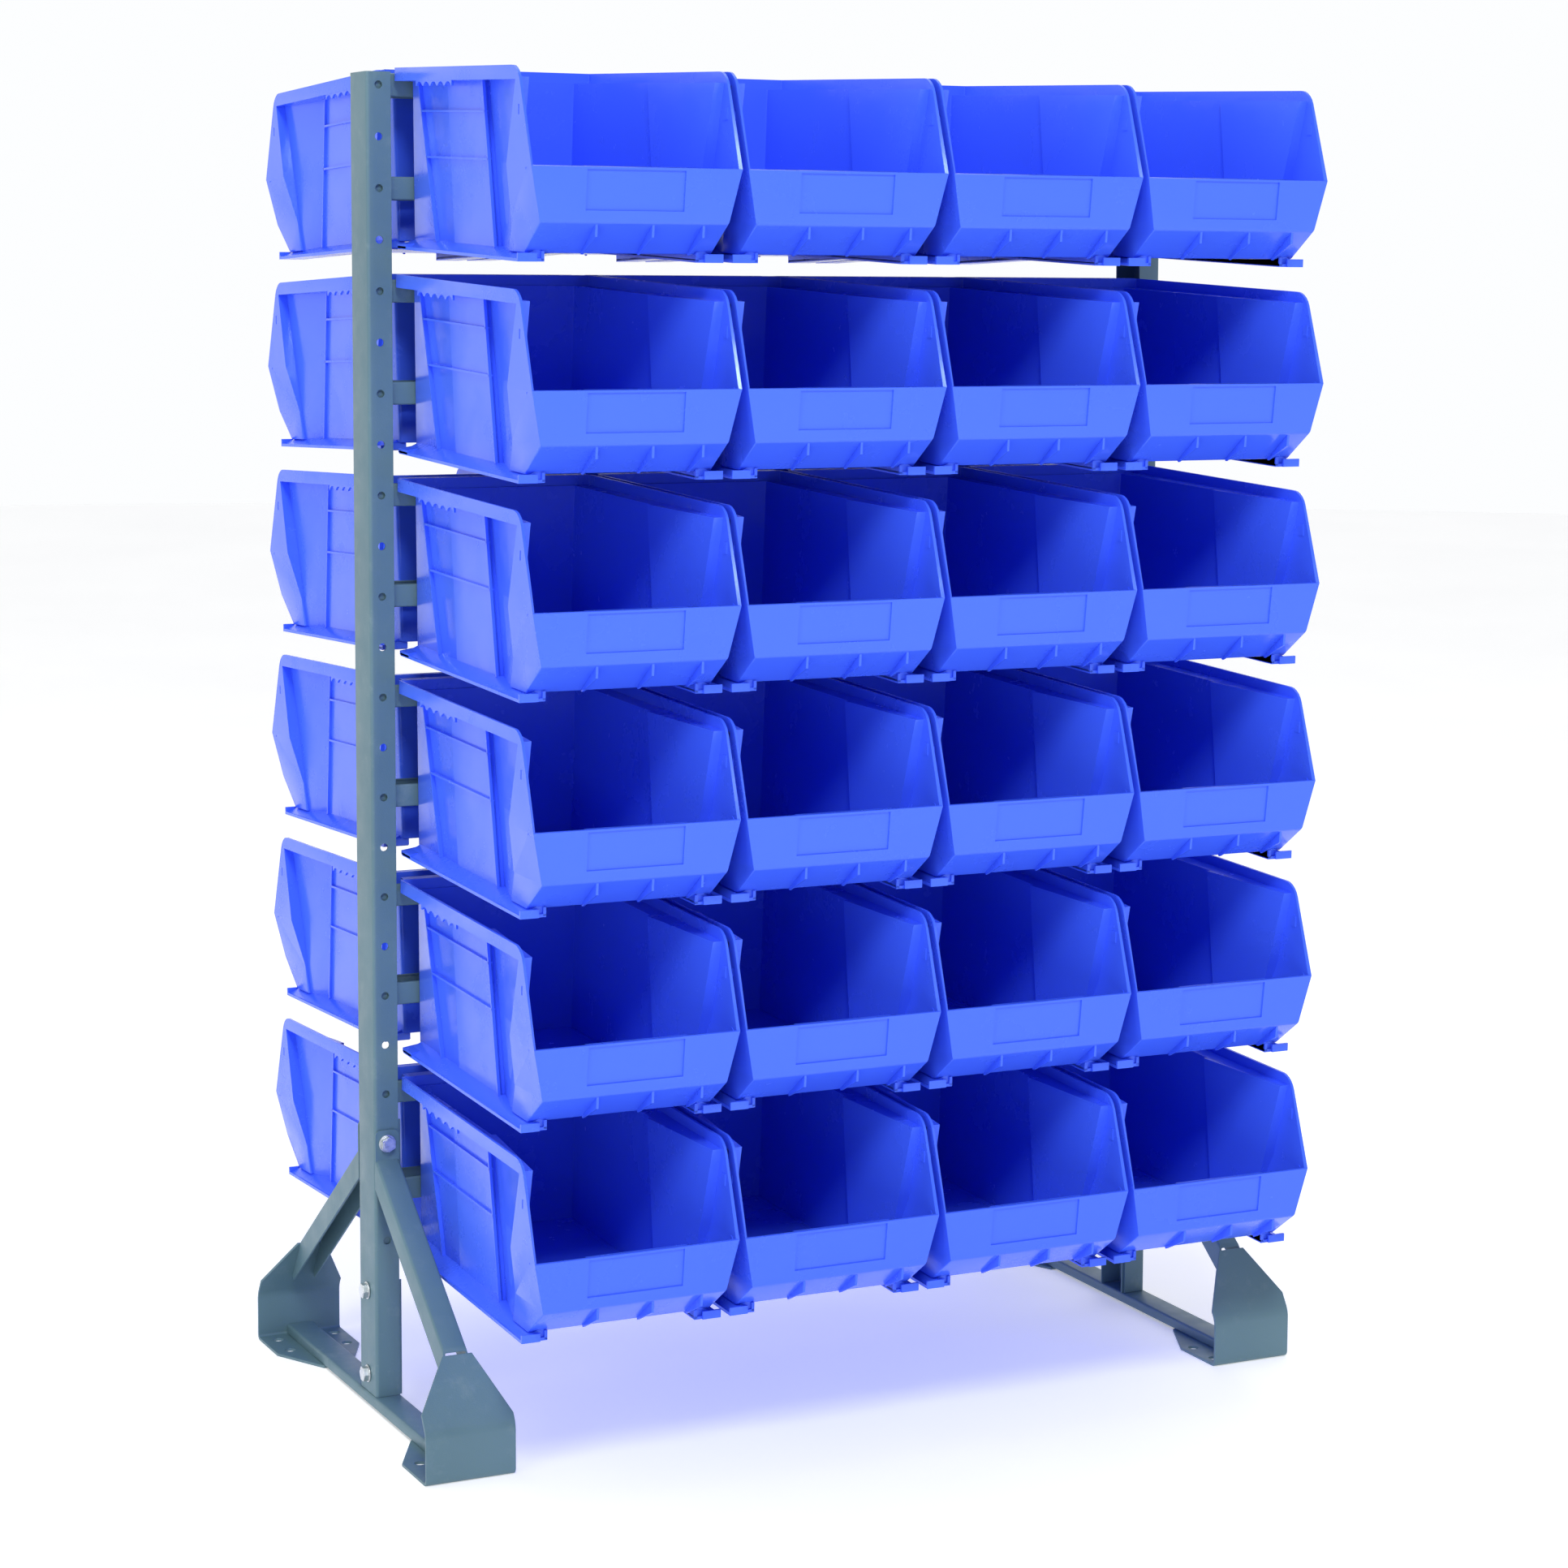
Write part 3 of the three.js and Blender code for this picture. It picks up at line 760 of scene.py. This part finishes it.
footShape = {"gauge": 3 * mm, "bend": 2 * inch, "shoulder": 2.7 * inch, "top": 4.5 * inch,
             "topReach": 9 * inch, "taperStart": 7.9 * inch, "taperEnd": 5.4 * inch, "round": 6 * mm,
             "neckLeft": 2 * mm, "neckRight": 3 * mm, "farShoulder": 8 * mm,
             "anchor": 5.5 * mm, "anchorX": (-0.7 * inch, 1.8 * inch), "anchorY": (9.8 * inch, 8.15 * inch)}
web = -18 * inch  # outer face of the left upright


def trim(bm, first, second, axis):
    # clears what lies outside the line from first to second, seen along axis
    run = Vector(second) - Vector(first)
    across = {"y": Vector((0, 1, 0)), "z": Vector((0, 0, 1))}[axis]
    normal = run.cross(across)
    if normal.dot(Vector(first) - Vector((web + 0.5 * inch, first[1], 0))) < 0:
        normal.negate()
    cut(bm, first, normal, clear=True)


def makeFoot():
    low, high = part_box("foot_front_left")
    shape = footShape
    path = [(low.x, -shape["taperEnd"], 0), (low.x, low.y, 0), (low.x, low.y, shape["bend"]),
            (low.x, -shape["topReach"], shape["top"])]
    bm = drawnSheet(path, (high.x - low.x, 0, 0))
    roundFolds(bm, shape["round"], 4)
    neckLeft = web - shape["neckLeft"]
    neckRight = web + inch + shape["neckRight"]
    trim(bm, (low.x, low.y, shape["shoulder"]), (neckLeft, low.y, shape["top"]), "y")
    trim(bm, (high.x, low.y, shape["shoulder"] - shape["farShoulder"]), (neckRight, low.y, shape["top"]), "y")
    trim(bm, (low.x, -shape["taperStart"], 0), (neckLeft - mm, -shape["taperEnd"], 0), "z")
    trim(bm, (high.x, -shape["taperStart"], 0), (neckRight + mm, -shape["taperEnd"], 0), "z")
    giveGauge(bm, (web, -0.2, 0.04), shape["gauge"])
    drills = bmesh.new()
    for across in shape["anchorX"]:
        for forward in shape["anchorY"]:
            peg(drills, shape["anchor"], "z", (web + across, -forward, 0), 0.02, 20)
    return carve(bm, drills)


braceShape = {"gauge": 2 * mm, "bend": 10.4 * inch, "near": 25.7 * mm, "round": 3 * mm,
              "footOverlap": 45 * mm, "headStart": 30 * mm,
              "tabTop": 11.55 * inch, "tabLap": 4 * mm, "tabRound": 6 * mm, "boltHeight": 11 * inch}


def makeBrace():
    # open channel from the foot to a flat tab on the upright, cut back where it meets the foot
    shape = braceShape
    near = shape["near"]
    run = footShape["topReach"] - near
    fall = shape["bend"] - footShape["top"]
    along = Vector((0, -run, -fall)).normalized()
    under = Vector((0, -along.z, along.y))
    if under.z > 0:
        under.negate()
    start = Vector((0, -near, shape["bend"]))
    length = math.hypot(run, fall) + shape["footOverlap"]
    deep = under * inch
    left = Vector((web, 0, 0))
    right = Vector((web + inch, 0, 0))
    path = [start + deep + left, start + left, start + right, start + deep + right]
    bm = drawnSheet(path, along * length)
    bmesh.ops.translate(bm, verts=bm.verts[:len(path)], vec=-along * shape["headStart"])
    roundFolds(bm, shape["round"], 3)
    giveGauge(bm, start + deep * 0.6 + along * length / 2 + (left + right) / 2, shape["gauge"])
    low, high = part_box("foot_front_left")
    slope = Vector((0, -footShape["topReach"] - low.y, footShape["top"] - footShape["bend"])).normalized()
    faceNormal = Vector((0, -slope.z, slope.y))
    behind = Vector((0, low.y, footShape["bend"])) - faceNormal * (footShape["gauge"] + 0.2 * mm)
    cut(bm, behind, faceNormal, clear=True)
    cut(bm, (0, low.y + footShape["gauge"] + 0.3 * mm, 0), (0, -1, 0), clear=True)
    cut(bm, (0, -near, 0), (0, 1, 0), clear=True)
    loose = [seam for seam in bm.edges if seam.is_boundary]
    bmesh.ops.holes_fill(bm, edges=loose, sides=0)
    tab = bmesh.new()
    block(tab, (web, -near - shape["gauge"], shape["bend"] - shape["tabLap"]),
          (web + inch, -near, shape["tabTop"]))
    topCorners = [seam for seam in tab.edges if all(end.co.z > shape["tabTop"] - mm for end in seam.verts)
                  and abs(seam.verts[0].co.y - seam.verts[1].co.y) > mm]
    roundEdges(tab, topCorners, shape["tabRound"], 5)
    drills = bmesh.new()
    peg(drills, uprightShape["holeRadius"], "y", (web + inch / 2, -near, shape["boltHeight"]), 0.02, 20)
    addMesh(bm, carve(tab, drills))
    return bm


boltShape = {"flats": 14 * mm, "head": 5.5 * mm, "washer": 9 * mm, "washerGauge": 1.2 * mm,
             "crown": 6.02 * mm, "crownHeight": 0.8 * mm, "shank": 4 * mm}


def hexBolt(bm, axis, face, outward, length):
    # head outward from face, along axis x or y; outward is -1 or 1
    step = Vector((outward, 0, 0)) if axis == "x" else Vector((0, outward, 0))
    shape = boltShape
    washerAt = face + step * shape["washerGauge"] / 2
    headAt = face + step * (shape["washerGauge"] + shape["head"] / 2)
    crownAt = face + step * (shape["washerGauge"] + shape["head"])
    peg(bm, shape["washer"], axis, washerAt, shape["washerGauge"], 28)
    peg(bm, shape["flats"] / math.sqrt(3), axis, headAt, shape["head"], 6)
    peg(bm, shape["crown"], axis, crownAt, shape["crownHeight"], 24)
    peg(bm, shape["shank"], axis, face - step * (length / 2 - mm), length, 20)


def makeWebBolt(node):
    low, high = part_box(node)
    bm = bmesh.new()
    hexBolt(bm, "x", Vector((web - 0.3 * mm, 0, (low.z + high.z) / 2)), -1, 8 * mm)
    return bm


def makeBraceBolt():
    shape = braceShape
    bm = bmesh.new()
    at = Vector((web + inch / 2, -shape["near"] - shape["gauge"], shape["boltHeight"]))
    hexBolt(bm, "y", at, -1, 9 * mm)
    return bm


endPieces = [("upright", makeUpright(), framePaint, "frame_paint", 0.4),
             ("inner_post", makePost(), framePaint, "frame_paint", 0.3),
             ("base_channel", makeBaseChannel(), framePaint, "frame_paint", 0.4),
             ("web_bolt_lower", makeWebBolt("web_bolt_lower_left"), zincPlate, "zinc_fastener", 0.4),
             ("web_bolt_upper", makeWebBolt("web_bolt_upper_left"), zincPlate, "zinc_fastener", 0.4)]
cornerPieces = [("foot", makeFoot(), framePaint, "frame_paint", 0.5),
                ("brace", makeBrace(), framePaint, "frame_paint", 0.3)]
for end in ("left", "right"):
    for name, bm, look, slot, edge in endPieces:
        copy = mirrored(bm, end == "right", False)
        finish(f"{name}.{end}", copy, look, "rack_frame", (f"{name}_{end}",), edge * mm)
    for where in ("front", "back"):
        for name, bm, look, slot, edge in cornerPieces:
            copy = mirrored(bm, end == "right", where == "back")
            node = f"{name}_{where}_{end}"
            finish(f"{name}.{where}.{end}", copy, look, "rack_frame", (node,), edge * mm)
        bolt = mirrored(makeBraceBolt(), end == "right", where == "back")
        finish(f"braceBolt.{where}.{end}", bolt, zincPlate, "rack_frame", (), 0.4 * mm)
print("frame pieces made")
